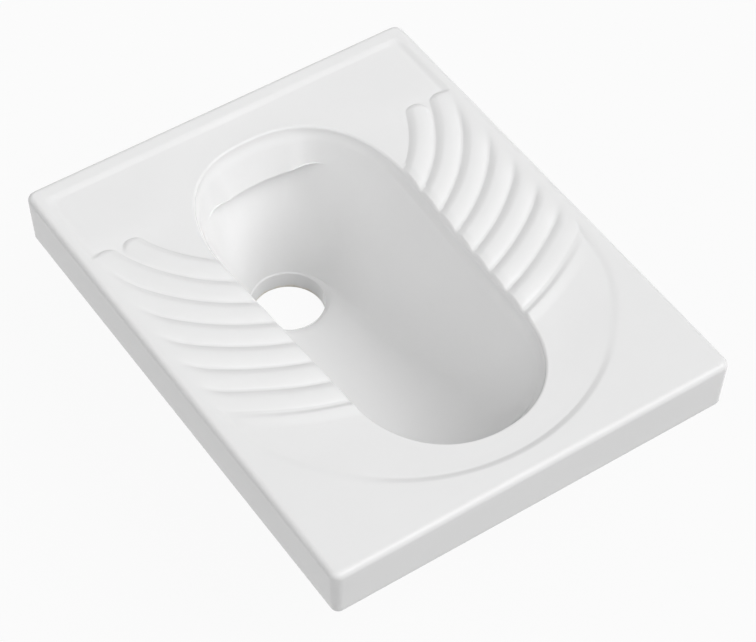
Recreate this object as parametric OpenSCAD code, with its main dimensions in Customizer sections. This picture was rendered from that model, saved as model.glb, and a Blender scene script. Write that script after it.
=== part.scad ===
// Squat toilet pan without a trap, with its flush and outlet fittings.
// Millimetres. +Z is up and +Y points to the flush inlet at the back.
// The origin is the centre of the outlet, in the plane that the pan stands on.
// A depth is measured down from the deck's top.

/* [Deck] */
// Width of the deck from side to side
deck_w = 430; // [400:5:480]
// Length of the deck from front to back
deck_l = 535; // [510:5:600]
// Height of the deck's top above the foot of the outlet
total_h = 195; // [190:1:230]
// Thickness of the deck
deck_t = 12; // [10:1:14]
// Radius of the deck's corners seen from above
corner_r = 10; // [9:1:16]
// Radius of the rounded top edge
edge_r = 8; // [4:1:8]
// Width of the raised border at the sides
border_side = 14.5; // [12:0.5:20]
// Width of the raised border at the back
border_back = 20; // [14:0.5:24]
// Depth of the recessed deck inside the border
recess_d = 3.5; // [2:0.5:4]
// Radius of the curved front of the recess
recess_front_r = 205; // [195:5:240]
// Flat margin between the front edge and the recess
front_margin = 25; // [20:0.5:36]

/* [Apron] */
// Height of the apron's foot below the deck's top
apron_h = 57; // [50:1:62]
// Thickness of the apron
apron_t = 12; // [9:1:14]
// Draft of the apron's outer faces in degrees
apron_draft = 3; // [0:0.5:4]
// Radius of the inside corners of the apron
apron_inner_r = 6; // [4:1:8]

/* [Foot treads] */
// Number of ridges under each foot
tread_rows = 7; // [5:1:7]
// Distance from one ridge to the next
tread_pitch = 26.3; // [24:0.1:27]
// Width of the groove between two ridges
tread_gap = 3; // [2:0.5:5]
// Radius of the innermost groove
tread_first_r = 163.5; // [158:0.5:170]
// Distance of the ridges' common centre from the back edge
tread_centre_back = 45.5; // [40:0.5:50]
// Distance of the ridges' back ends from the back edge
tread_back = 103.5; // [95:0.5:115]

/* [Bowl mouth] */
// Width of the mouth across its back end
mouth_back_w = 210; // [200:2:220]
// Width of the mouth across its front end
mouth_front_w = 192; // [180:2:200]
// Distance of the mouth's back end from the deck's back edge
mouth_back_gap = 54; // [52:0.5:60]
// Distance of the mouth's front end from the deck's front edge
mouth_front_gap = 54.5; // [50:0.5:70]
// Length of the mouth's rounded back end
mouth_back_len = 125; // [115:1:140]
// Length of the mouth's rounded front end
mouth_front_len = 108; // [100:1:120]
// Fullness of the back end, where 2 is an ellipse
mouth_back_power = 2.35; // [2:0.05:2.6]
// Fullness of the front end
mouth_front_power = 2.15; // [2:0.05:2.4]
// Radius of the rolled rim
rim_r = 4; // [3:0.5:6]

/* [Bowl] */
// Thickness of the bowl and rim walls
bowl_wall = 10; // [8:1:11]
// Depth at which the rim wall meets the bowl
luting_d = 70; // [68:1:72]
// How far the walls lean in at the sides
side_lean = 28; // [20:1:30]
// How far the walls lean in at the ends
end_lean = 26; // [18:1:27]
// Share of the floor's depth that the wall goes down before it rounds in
wall_share = 0.75; // [0.7:0.05:0.8]
// Depth of the bowl's floor at its front
floor_front_d = 105; // [98:1:112]

/* [Outlet] */
// Distance of the outlet's centre from the deck's back edge
outlet_back = 124.5; // [120:0.5:135]
// Radius of the outlet's bore
outlet_r = 37.5; // [34:0.5:39]
// Outside radius of the outlet spigot
outlet_outer_r = 47; // [45:0.5:50]
// Radius of the rounding into the outlet
outlet_round = 12; // [8:1:13]
// Height of the outlet spigot below the bowl
spigot_h = 21; // [19:1:30]

/* [Flush water] */
// Depth of the lip's lower edge
lip_d = 45; // [43:1:48]
// Height of the flush slot below the lip
slot_h = 8; // [6:0.5:9]
// Width of the flush slot from side to side
slot_w = 160; // [120:5:165]
// Distance of the channel's front ends from the deck's back edge
channel_back = 117.5; // [110:2.5:120]
// Clear width of the channel beyond the rim's wall
channel_gap = 14; // [10:1:14]
// Thickness of the channel's and the water box's walls
channel_wall = 10; // [8:1:10]
// Inside width of the water box
box_w = 50; // [48:2:60]
// Depth of the water box's floor
box_d = 114; // [113:1:118]
// Depth of the inlet's axis
inlet_d = 95; // [94:0.5:96]
// Radius of the inlet's bore
inlet_r = 17; // [15:0.5:17]
// Outside radius of the inlet spigot
inlet_outer_r = 24; // [22:0.5:24]
// Length of the inlet spigot
inlet_l = 25; // [24:1:30]

/* [Supports] */
// Distance of the front foot from the deck's front edge
foot_front = 150; // [130:1:170]
// Width of the front foot
foot_w = 140; // [110:5:160]
// Thickness of the front foot
foot_t = 18; // [14:1:24]
// Radius of the arch between the foot's two ends
foot_arch_r = 34; // [24:1:36]
// Thickness of the ribs under the deck
rib_t = 10; // [8:1:14]
// Depth of the ribs' lower edges
rib_d = 46; // [30:1:48]
// Distance of the rear ribs from the deck's back edge
rib_rear = 192.5; // [180:2.5:210]
// Distance of the front ribs from the deck's front edge
rib_front_in = 207.5; // [190:2.5:220]

/* [Rubber and clamps] */
// Thickness of the inlet cuff's rubber
cuff_t = 4; // [3:0.5:4]
// Length of the cuff over the spigot
cuff_grip = 20; // [16:1:20]
// Radius of the flush pipe that the cuff takes
flush_pipe_r = 16; // [12.5:0.5:16]
// Clear fit between the flush pipe and the cuff
pipe_fit = 0.2; // [0.1:0.1:0.4]
// Length of the cuff over the flush pipe
cuff_pipe_l = 20; // [16:1:24]
// Width of a clamp's band
clamp_w = 7; // [5:0.5:9]
// Thickness of a clamp's band
clamp_t = 0.8; // [0.6:0.1:1.2]
// Width of a clamp's pinched ear
clamp_ear_w = 8; // [6:0.5:10]
// How far the ear stands out from the band
clamp_ear_h = 5; // [4:0.5:6]
// Thickness of the outlet seal's sleeve
seal_t = 3; // [2:0.5:4]
// How far the outlet seal's lips stand out from its sleeve
seal_lip = 4; // [3:0.5:6]
// Height of the outlet seal
seal_h = 15; // [12:1:16]
// Number of lips on the outlet seal
seal_lips = 3; // [2:1:4]

/* [Hidden] */

ceramic = "whitesmoke";
biscuit = "linen";
rubber = "dimgray";
steel = "silver";
$fn = 96;
over = 5;                 // how far a cutter runs past what it cuts
trough_taper = 5;         // how much narrower the trough is at its front end, each side
bevel = 2;                // bevel on the spigots' free ends
seal_lip_t = 2;           // thickness of one lip of the outlet seal
cuff_slack = 3;           // gap in the cuff between the spigot and the flush pipe
clamp_inset = 4;          // distance of the pipe's clamp from the cuff's end

// Heights
deck_z = total_h;
floor_z = deck_z - recess_d;
under_z = deck_z - deck_t;
apron_z = deck_z - apron_h;
luting_z = deck_z - luting_d;
ledge_z = deck_z - lip_d - slot_h;
outlet_d = deck_z - spigot_h;
floor_back_d = outlet_d - outlet_round; // depth of the bowl's floor round the outlet

// Plan, with the outlet's centre at the origin
back_y = outlet_back;
front_y = back_y - deck_l;
mid_y = (back_y + front_y) / 2;
back_cy = back_y - mouth_back_gap - mouth_back_len;
front_cy = front_y + mouth_front_gap + mouth_front_len;
tread_cy = back_y - tread_centre_back;
sump_r = outlet_r + outlet_round;
trough_r = sump_r - trough_taper; // half the width of the trough at its front end

// Mesh of the bowl
end_n = 18;               // steps round each end of the mouth
side_n = 6;               // steps along each side
wall_n = 10;              // steps from the luting line to the sump
mouth_n = 2 * (end_n + side_n);

// ---------------------------------------------------------------- curves
function lerp(a, b, t) = a + (b - a) * t;
function clamp01(t) = max(0, min(1, t));
function unit(p) = p / norm(p);
function signed_pow(v, p) = sign(v) * pow(abs(v), p);
function arc(c, r, a0, a1, n) =
    [for (i = [0:n]) let (a = lerp(a0, a1, i / n)) c + r * [cos(a), sin(a)]];
function bezier(p, t) =
    let (u = 1 - t) u * u * u * p[0] + 3 * u * u * t * p[1] + 3 * u * t * t * p[2] + t * t * t * p[3];

// The mouth's outline grown outwards by g: a rounded end, a side, the other end, a side
function end_point(a, cy, w, l, power, g) =
    [(w / 2 + g) * signed_pow(cos(a), 2 / power), cy + (l + g) * signed_pow(sin(a), 2 / power)];
function back_point(a, g) =
    end_point(a, back_cy, mouth_back_w, mouth_back_len, mouth_back_power, g);
function front_point(a, g) =
    end_point(a, front_cy, mouth_front_w, mouth_front_len, mouth_front_power, g);
function mouth_point(i, g) =
    i <= end_n ? back_point(180 * i / end_n, g)
    : i < end_n + side_n ? lerp(back_point(180, g), front_point(180, g), (i - end_n) / side_n)
    : i <= 2 * end_n + side_n ? front_point(180 + 180 * (i - end_n - side_n) / end_n, g)
    : lerp(front_point(0, g), back_point(0, g), (i - 2 * end_n - side_n) / side_n);
function mouth(g) = [for (i = [0:mouth_n - 1]) mouth_point(i, g)];

// Edge of the trough along the bowl's floor, level with the mouth's point p
function trough_edge(p) =
    p.y > 0 ? sump_r * unit(p)
    : p.y < front_cy ? [0, front_cy] + trough_r * unit(p - [0, front_cy])
    : [sign(p.x) * lerp(sump_r, trough_r, p.y / front_cy), p.y];
function floor_depth(y) = lerp(floor_back_d, floor_front_d, clamp01(y / front_cy));

// A spoke is a curve down the bowl, from the mouth over the trough's edge to the sump round
// the outlet. Its third coordinate is the depth. With g it runs on the outside of a wall g thick.
function sump_angle(i) =
    i <= end_n ? 180 * i / end_n : 180 + 180 * (i - end_n) / (mouth_n - end_n);
function spoke(i, t, g) =
    let (m = mouth_point(i, g),
         e = trough_edge(m),
         inward = unit(e - m),
         w = m + lerp(side_lean, end_lean, abs(inward.y)) * inward,
         d = floor_depth(e.y),
         a = sump_angle(i),
         s = (sump_r + g) * [cos(a), sin(a)])
    bezier([[m.x, m.y, 0], [w.x, w.y, wall_share * d], [e.x, e.y, d + g],
            [s.x, s.y, floor_back_d + g]], t);
function spoke_at_depth(i, d, g, lo = 0, hi = 1, n = 14) =
    let (m = (lo + hi) / 2)
    n == 0 ? m
    : spoke(i, m, g).z > d ? spoke_at_depth(i, d, g, lo, m, n - 1)
    : spoke_at_depth(i, d, g, m, hi, n - 1);

// Rings of mouth_n points in space
function flat_ring(g, z) = [for (p = mouth(g)) [p.x, p.y, z]];
function depth_ring(d, g) =
    [for (i = [0:mouth_n - 1]) let (p = spoke(i, spoke_at_depth(i, d, g), g))
        [p.x, p.y, deck_z - d]];
function wall_rings(g) =
    let (start = [for (i = [0:mouth_n - 1]) spoke_at_depth(i, luting_d, g)])
    [for (j = [1:wall_n]) [for (i = [0:mouth_n - 1])
        let (p = spoke(i, lerp(start[i], 1, j / wall_n), g)) [p.x, p.y, deck_z - p.z]]];
function outlet_ring(r, d) =
    [for (i = [0:mouth_n - 1]) [r * cos(sump_angle(i)), r * sin(sump_angle(i)), deck_z - d]];
function throat_rings() =
    [for (a = [30:30:90])
        outlet_ring(outlet_r + outlet_round * (1 - sin(a)),
                    floor_back_d + outlet_round * (1 - cos(a)))];
function reversed(list) = [for (i = [len(list) - 1:-1:0]) list[i]];

// Skins over a stack of rings. A tube joins its last ring to its first, a plug has two lids.
function skin_faces(m, n) =
    [for (j = [0:m - 1], i = [0:n - 1])
        let (a = j * n + i, b = j * n + (i + 1) % n, c = (j + 1) * n + (i + 1) % n, d = (j + 1) * n + i)
        each [[a, b, c], [a, c, d]]];
function wrap(faces, total) = [for (f = faces) [for (v = f) v % total]];
module ring_tube(rings) {
    m = len(rings);
    n = len(rings[0]);
    polyhedron([for (r = rings) each r], wrap(skin_faces(m, n), m * n));
}
module ring_plug(rings) {
    m = len(rings);
    n = len(rings[0]);
    polyhedron([for (r = rings) each r],
               concat(skin_faces(m - 1, n),
                      [[for (i = [n - 1:-1:0]) i]],
                      [[for (i = [0:n - 1]) (m - 1) * n + i]]));
}

// Solids that fill the rim and the bowl out to their outer faces
module rim_outer() {
    ring_plug(concat([flat_ring(bowl_wall, deck_z)],
                     [for (d = [deck_t, lip_d, luting_d]) depth_ring(d, bowl_wall)]));
}
module bowl_outer() {
    ring_plug(concat([depth_ring(luting_d, bowl_wall)], wall_rings(bowl_wall)));
}

// ---------------------------------------------------------------- deck and apron
// How far the drafted outer face stands in at a depth
function draft_at(d) = tan(apron_draft) * (d - edge_r);

// Sweeps a profile, drawn outwards from the line of the corners' centres, round the deck
module round_the_deck(core_z0, core_z1) {
    half = [deck_w / 2 - corner_r, deck_l / 2 - corner_r];
    translate([0, mid_y, 0]) {
        translate([-half.x, -half.y, core_z0]) cube([2 * half.x, 2 * half.y, core_z1 - core_z0]);
        for (s = [0, 180]) {
            rotate(s) translate([half.x, 0, 0])
                rotate([90, 0, 0]) linear_extrude(2 * half.y, center = true) children();
            rotate(s + 90) translate([half.y, 0, 0])
                rotate([90, 0, 0]) linear_extrude(2 * half.x, center = true) children();
            rotate(s) translate([half.x, half.y, 0]) rotate_extrude(angle = 90) children();
            rotate(s) translate([-half.x, half.y, 0])
                rotate(90) rotate_extrude(angle = 90) children();
        }
    }
}

module recess() {
    reach = deck_w / 2 - border_side;
    centre_y = front_y + front_margin + recess_front_r;
    translate([0, 0, floor_z]) linear_extrude(recess_d + over) {
        translate([-reach, centre_y]) square([2 * reach, back_y - border_back - centre_y]);
        intersection() {
            translate([0, centre_y]) circle(recess_front_r);
            translate([-reach, front_y]) square([2 * reach, centre_y - front_y + over]);
        }
    }
}

module deck() color(ceramic) difference() {
    round_the_deck(under_z, deck_z)
        polygon(concat([[0, under_z], [corner_r - draft_at(deck_t), under_z]],
                       arc([corner_r - edge_r, deck_z - edge_r], edge_r, 0, 90, 8),
                       [[0, deck_z]]));
    recess();
    translate([0, 0, under_z - over]) linear_extrude(deck_t + 2 * over) polygon(mouth(bowl_wall));
}

apron_in = apron_t + draft_at(apron_h);

module apron() color(ceramic) difference() {
    round_the_deck(apron_z, under_z)
        polygon([[0, apron_z], [corner_r - draft_at(apron_h), apron_z],
                 [corner_r - draft_at(deck_t), under_z], [0, under_z]]);
    inner = [deck_w, deck_l] - 2 * [apron_in, apron_in];
    translate([0, mid_y, apron_z - over]) linear_extrude(under_z - apron_z + 2 * over) {
        square([inner.x, inner.y - 2 * apron_inner_r], center = true);
        square([inner.x - 2 * apron_inner_r, inner.y], center = true);
        for (x = [-1, 1], y = [-1, 1])
            translate([x * (inner.x / 2 - apron_inner_r), y * (inner.y / 2 - apron_inner_r)])
                circle(apron_inner_r);
    }
}

// ---------------------------------------------------------------- treads
// One ridge's section, as high as the border: a low arc between two grooves
module ridge_section() {
    half_w = (tread_pitch - tread_gap) / 2;
    r = (half_w * half_w + recess_d * recess_d) / (2 * recess_d);
    half_a = asin(half_w / r);
    polygon(arc([0, recess_d - r], r, 90 - half_a, 90 + half_a, 8));
}

module tread() {
    reach = deck_w / 2 - border_side;
    intersection() {
        translate([0, tread_cy, floor_z]) for (row = [0:tread_rows - 1])
            rotate(-85) rotate_extrude(angle = 75)
                translate([tread_first_r + (row + 0.5) * tread_pitch, 0]) ridge_section();
        translate([0, 0, floor_z]) linear_extrude(recess_d + over) difference() {
            translate([0, front_y]) square([reach, deck_l - tread_back]);
            polygon(mouth(bowl_wall));
        }
    }
}

module right_tread() color(ceramic) tread();
module left_tread() color(ceramic) mirror([1, 0, 0]) tread();

// ---------------------------------------------------------------- rim and bowl
module rim_wall() color(ceramic) difference() {
    ring_tube(concat(
        [for (a = [0:30:90]) flat_ring(rim_r * (0.5 - sin(a)), floor_z - rim_r * (1 - cos(a)))],
        [for (d = [deck_t + 8, 38, lip_d, luting_d]) depth_ring(d, 0)],
        [for (d = [luting_d, lip_d, deck_t]) depth_ring(d, bowl_wall)],
        [flat_ring(bowl_wall, under_z), flat_ring(bowl_wall, floor_z)]));
    translate([-slot_w / 2, 0, ledge_z]) cube([slot_w, back_y, slot_h]);
}

module bowl() color(ceramic)
    ring_tube(concat([depth_ring(luting_d, 0)], wall_rings(0), throat_rings(),
                     [outlet_ring(outlet_outer_r, outlet_d)],
                     reversed(wall_rings(bowl_wall)), [depth_ring(luting_d, bowl_wall)]));

// ---------------------------------------------------------------- flush water
channel_in = bowl_wall + channel_gap;
channel_out = channel_in + channel_wall;
rear_y = back_y - mouth_back_gap + channel_out;

// Everything behind a line across the pan, inside the mouth grown by g
module behind(g, y) intersection() {
    polygon(mouth(g));
    translate([-deck_w / 2, y]) square([deck_w, deck_l]);
}

module flush_channel() color(ceramic) difference() {
    end_y = back_y - channel_back;
    translate([0, 0, luting_z]) linear_extrude(under_z - luting_z) behind(channel_out, end_y);
    translate([0, 0, ledge_z]) linear_extrude(under_z - ledge_z + over)
        behind(channel_in, end_y + channel_wall);
    translate([-box_w / 2, 0, luting_z - over])
        cube([box_w, rear_y - channel_wall, ledge_z - luting_z + 2 * over]);
    rim_outer();
}

module water_box() color(ceramic) difference() {
    box_z = deck_z - box_d;
    outer_w = box_w + 2 * channel_wall;
    translate([-outer_w / 2, 0, box_z - channel_wall])
        cube([outer_w, rear_y, luting_z - box_z + channel_wall]);
    translate([-box_w / 2, -over, box_z])
        cube([box_w, rear_y - channel_wall + over, luting_z - box_z + over]);
    inlet_axis() translate([0, 0, -channel_wall - over])
        cylinder(r = inlet_r, h = channel_wall + 2 * over);
    bowl_outer();
}

// Puts its children on the inlet's axis, which runs backwards from the water box
module inlet_axis() translate([0, rear_y, deck_z - inlet_d]) rotate([-90, 0, 0]) children();

module inlet_spigot() color(ceramic) inlet_axis() rotate_extrude()
    polygon([[inlet_r, 0], [inlet_outer_r, 0], [inlet_outer_r, inlet_l - bevel],
             [inlet_outer_r - bevel, inlet_l], [inlet_r, inlet_l]]);

module outlet_spigot() color(biscuit) rotate_extrude()
    polygon([[outlet_r, 0], [outlet_outer_r - bevel, 0], [outlet_outer_r, bevel],
             [outlet_outer_r, spigot_h], [outlet_r, spigot_h]]);

// ---------------------------------------------------------------- supports
module front_foot() color(biscuit) difference() {
    translate([0, front_y + foot_front + foot_t, 0]) rotate([90, 0, 0])
        linear_extrude(foot_t) difference() {
            translate([-foot_w / 2, 0]) square([foot_w, luting_z - over]);
            circle(foot_arch_r);
        }
    bowl_outer();
}

module side_rib(y) color(ceramic) difference() {
    translate([0, y - rib_t / 2, deck_z - rib_d])
        cube([deck_w / 2 - apron_in, rib_t, rib_d - deck_t]);
    rim_outer();
}

module rib_right_rear() side_rib(back_y - rib_rear);
module rib_right_front() side_rib(front_y + rib_front_in);
module rib_left_rear() mirror([1, 0, 0]) rib_right_rear();
module rib_left_front() mirror([1, 0, 0]) rib_right_front();

module rib_front() color(ceramic) difference() {
    near_y = front_y + apron_in;
    translate([-rib_t / 2, near_y, deck_z - rib_d])
        cube([rib_t, front_cy - near_y, rib_d - deck_t]);
    rim_outer();
}

// ---------------------------------------------------------------- rubber and clamps
cuff_start = inlet_l - cuff_grip;
pipe_start = inlet_l + cuff_slack;
cuff_end = pipe_start + cuff_pipe_l;
pipe_bore_r = flush_pipe_r + pipe_fit;

module inlet_cuff() color(rubber) inlet_axis() rotate_extrude()
    polygon([[inlet_outer_r, cuff_start], [inlet_outer_r + cuff_t, cuff_start],
             [inlet_outer_r + cuff_t, inlet_l - 1], [pipe_bore_r + cuff_t, pipe_start + 2],
             [pipe_bore_r + cuff_t, cuff_end], [pipe_bore_r, cuff_end], [pipe_bore_r, pipe_start],
             [inlet_outer_r - bevel, inlet_l], [inlet_outer_r, inlet_l - bevel]]);

// A band round the cuff, pinched tight by one ear at its bottom
module ear_clamp(r, z) color(steel) inlet_axis() rotate(90) translate([0, 0, z]) {
    difference() {
        cylinder(r = r + clamp_t, h = clamp_w);
        translate([0, 0, -over]) cylinder(r = r, h = clamp_w + 2 * over);
    }
    linear_extrude(clamp_w) difference() {
        translate([0, -clamp_ear_w / 2]) square([r + clamp_t + clamp_ear_h, clamp_ear_w]);
        translate([0, clamp_t - clamp_ear_w / 2])
            square([r + clamp_ear_h, clamp_ear_w - 2 * clamp_t]);
        circle(r + clamp_t / 2);
    }
}

module spigot_clamp() ear_clamp(inlet_outer_r + cuff_t, cuff_start + (cuff_grip - clamp_w) / 2);
module pipe_clamp() ear_clamp(pipe_bore_r + cuff_t, cuff_end - clamp_w - clamp_inset);

module outlet_seal() color(rubber) translate([0, 0, (spigot_h + bevel - seal_h) / 2])
    rotate_extrude() {
        translate([outlet_outer_r, 0]) square([seal_t, seal_h]);
        for (i = [0:seal_lips - 1])
            translate([outlet_outer_r, lerp(0, seal_h - seal_lip_t, i / (seal_lips - 1))])
                square([seal_t + seal_lip, seal_lip_t]);
    }

deck();
left_tread();
right_tread();
apron();
rim_wall();
bowl();
flush_channel();
water_box();
inlet_spigot();
outlet_spigot();
front_foot();
rib_front();
rib_left_front();
rib_left_rear();
rib_right_front();
rib_right_rear();
inlet_cuff();
spigot_clamp();
pipe_clamp();
outlet_seal();
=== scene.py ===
"""Dresses the squat toilet pan: glazed china, bare clay feet, rubber and steel fittings."""

import math

import bmesh
import bpy
import numpy as np
from mathutils import Matrix, Vector


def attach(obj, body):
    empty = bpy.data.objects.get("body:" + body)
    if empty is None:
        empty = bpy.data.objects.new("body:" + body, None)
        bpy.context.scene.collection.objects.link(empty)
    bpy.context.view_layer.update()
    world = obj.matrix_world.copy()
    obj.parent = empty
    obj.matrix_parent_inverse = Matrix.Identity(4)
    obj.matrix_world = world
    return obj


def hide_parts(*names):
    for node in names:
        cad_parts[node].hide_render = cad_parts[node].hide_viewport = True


bl_info = {
    "name": "Squat toilet pan",
    "version": (1, 0, 0),
    "blender": (4, 5, 0),
    "location": "3D View > Sidebar > Pan",
    "description": "Builds a china squat toilet pan and its fittings",
    "category": "Add Mesh",
}

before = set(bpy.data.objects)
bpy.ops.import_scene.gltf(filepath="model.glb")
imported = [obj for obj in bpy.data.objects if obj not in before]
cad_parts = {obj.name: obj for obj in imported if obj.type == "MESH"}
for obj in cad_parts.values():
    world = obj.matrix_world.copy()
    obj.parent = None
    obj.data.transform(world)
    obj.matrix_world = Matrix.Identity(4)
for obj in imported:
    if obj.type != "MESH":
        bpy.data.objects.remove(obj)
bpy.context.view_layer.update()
MM = 0.001
FLOOR_GAP = 0.3 * MM  # the floor lies this far under the pan's feet
INLET_START = (0.0, 0.1045, 0.100)  # middle of the water box's rear face, where the inlet starts

# How full the mouth's rounded ends are: 2 is an ellipse, and more is squarer
BACK_FULLNESS = 2.35
FRONT_FULLNESS = 2.15

# The bowl meets the bore's rounding this far outside the bore and below the floor, in front and behind
THROAT_EDGE = (6.5 * MM, 1.2 * MM)
THROAT_FALL = (5.0 * MM, 10.5 * MM)

# Points on the mouth that the deck's corners are matched to: out from the middle, past an end's centre
BACK_AIM = (78 * MM, 88 * MM)
FRONT_AIM = (70 * MM, 74 * MM)

# The low half ridge in front of each tread: its share of a full ridge's height, and its run
HALF_RIDGE = 0.66
HALF_RIDGE_RUN = 15 * MM

# Each clamp: its name, its CAD node, its radius and where it starts along the inlet, in millimetres
CLAMPS = (("wide", "spigot_clamp", 28.0, 11.5), ("narrow", "pipe_clamp", 20.2, 37.0))

# Camera, solved from the corners of the deck
PICTURE = (756, 642)
FOCAL_PX = 2643.0
CAMERA_PLACE = (-0.917, -1.477, 2.028)
CAMERA_TURN = 34.82
CAMERA_DOWN = 49.527
CAMERA_ROLL = 0.965
SENSOR_MM = 36.0

FLOOR_HALF = 6.0  # the floor reaches this far each way, in metres
FLOOR_WHITE = 0.94  # share of white that the background's rays meet on the floor

# Name, azimuth, elevation and strength of each lamp
SOFT_LAMPS = (
    ("front_right_lamp", 45, 50, 1.60),
    ("low_front_right_lamp", 45, 25, 0.42),
    ("front_lamp", 0, 50, 0.69),
    ("left_lamp", 270, 25, 1.00),
    ("right_lamp", 90, 25, 0.13),
    ("back_right_lamp", 135, 50, 0.37),
    ("back_left_lamp", 225, 50, 0.20),
)


# ---------------------------------------------------------------- settings
def length(name, text, value):
    return bpy.props.FloatProperty(
        name=name, description=text, default=value, min=0.0, unit="LENGTH", subtype="DISTANCE"
    )


def colour(name, text, value):
    return bpy.props.FloatVectorProperty(
        name=name, description=text, default=value, size=3, min=0.0, max=1.0, subtype="COLOR"
    )


def share(name, text, value, top=1.0):
    return bpy.props.FloatProperty(
        name=name, description=text, default=value, min=0.0, max=top, subtype="FACTOR"
    )


class DeckSizes(bpy.types.PropertyGroup):
    width: length("Width", "Deck from side to side", 0.430)
    depth: length("Length", "Deck from front to back", 0.535)
    height: length("Height", "Deck's top above the outlet's foot", 0.195)
    thickness: length("Thickness", "Thickness of the deck", 0.012)
    corner: length("Corner radius", "Corners seen from above", 0.010)
    edge: length("Edge radius", "Rounded top edge", 0.006)
    border_side: length("Side border", "Raised border at the sides", 0.0145)
    border_back: length("Back border", "Raised border at the back", 0.020)
    recess: length("Recess", "Depth of the recess at the bowl", 0.0035)
    fall: length("Fall", "How far the recess falls from its edge to the bowl", 0.0016)
    corner_rise: length("Corner rise", "How much shallower the recess is in its front corners", 0.0023)
    step: length("Step width", "Width of the soft step round the recess", 0.0085)
    front_radius: length("Front radius", "Curved front of the recess", 0.205)
    front_margin: length("Front margin", "Flat strip in front of the recess", 0.025)
    apron_height: length("Apron height", "Apron's foot below the deck's top", 0.057)
    apron_wall: length("Apron wall", "Thickness of the apron", 0.012)


class TreadSizes(bpy.types.PropertyGroup):
    rows: bpy.props.IntProperty(
        name="Ridges", description="Ridges under each foot", default=7, min=1, max=7
    )
    pitch: length("Pitch", "Distance from one ridge to the next", 0.0263)
    crest: share("Crest", "Place of a ridge's crest across it, from its rear groove", 0.39)
    valley: length("Groove", "Flat width at the bottom of a groove", 0.0024)
    first: length("First groove", "Radius of the innermost groove", 0.1615)
    centre_back: length("Centre", "Common centre's distance from the back edge", 0.0455)
    back: length("Back ends", "Ridges' back ends from the back edge", 0.1035)
    fade: length("Fade", "Distance over which the grooves run out at the border", 0.023)


class BowlSizes(bpy.types.PropertyGroup):
    back_width: length("Back width", "Mouth across its back end", 0.210)
    front_width: length("Front width", "Mouth across its front end", 0.192)
    back_gap: length("Back gap", "Mouth's back end from the deck's back edge", 0.054)
    front_gap: length("Front gap", "Mouth's front end from the deck's front edge", 0.0545)
    back_length: length("Back end", "Length of the rounded back end", 0.125)
    front_length: length("Front end", "Length of the rounded front end", 0.108)
    rim: length("Rim radius", "Radius of the rolled rim", 0.0028)
    brow: length("Brow", "Upright band under the rolled rim", 0.012)
    side_lean: length("Side lean", "How far the walls lean in at the sides", 0.038)
    end_lean: length("Front lean", "How far the wall leans in at the front end", 0.034)
    back_lean: length("Back lean", "How far the wall leans in at the back end", 0.027)
    wall: length("Wall", "Thickness of the walls", 0.010)
    lip: length("Lip depth", "Depth of the lip's lower edge", 0.0468)
    lip_rise: length("Lip rise", "How much higher the lip's lower edge is at the sides", 0.0045)
    lip_reach: length("Lip reach", "How far the lip's lower edge stands in from the rim at the back", 0.020)
    outer_side_lean: length("Outer side lean", "Lean of the walls' outer faces at the sides", 0.028)
    outer_end_lean: length("Outer end lean", "Lean of the walls' outer faces at the ends", 0.026)
    undercut: length("Undercut", "How far the wall stands back under the lip", 0.006)
    slot_width: length("Slot width", "Flush slot from side to side", 0.128)
    slot_height: length("Slot height", "Height of the flush slot at its middle", 0.006)
    front_floor: length("Front floor", "Depth of the floor at its front", 0.114)
    outlet_back: length("Outlet", "Outlet's centre from the back edge", 0.1245)
    outlet: length("Outlet radius", "Radius of the outlet's bore", 0.0375)
    outlet_outer: length("Spigot radius", "Outside radius of the outlet spigot", 0.047)
    outlet_round: length("Outlet rounding", "Radius of the rounding into the outlet", 0.012)
    spigot: length("Spigot height", "Height of the outlet spigot", 0.021)


class Finishes(bpy.types.PropertyGroup):
    glaze: colour("Glaze", "White glaze", (0.86, 0.86, 0.86))
    clay: colour("Clay", "Bare fired clay", (0.80, 0.76, 0.69))
    rubber: colour("Rubber", "Black rubber", (0.018, 0.018, 0.020))
    steel: colour("Steel", "Stainless steel", (0.56, 0.57, 0.58))
    gloss: share("Roughness", "Roughness of the glaze", 0.13)


class StageSettings(bpy.types.PropertyGroup):
    floor: colour("Floor", "Pale floor", (0.42, 0.42, 0.42))
    lamps: share("Lamps", "Strength of all the soft lamps together", 1.0, 4.0)
    spread: bpy.props.FloatProperty(
        name="Softness", description="Angle that each soft lamp fills",
        default=math.radians(45), subtype="ANGLE",
    )
    room: share("Room light", "Even light from all round", 0.01, 4.0)


GROUPS = {
    "pan_deck": DeckSizes,
    "pan_tread": TreadSizes,
    "pan_bowl": BowlSizes,
    "pan_finish": Finishes,
    "pan_stage": StageSettings,
}


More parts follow.
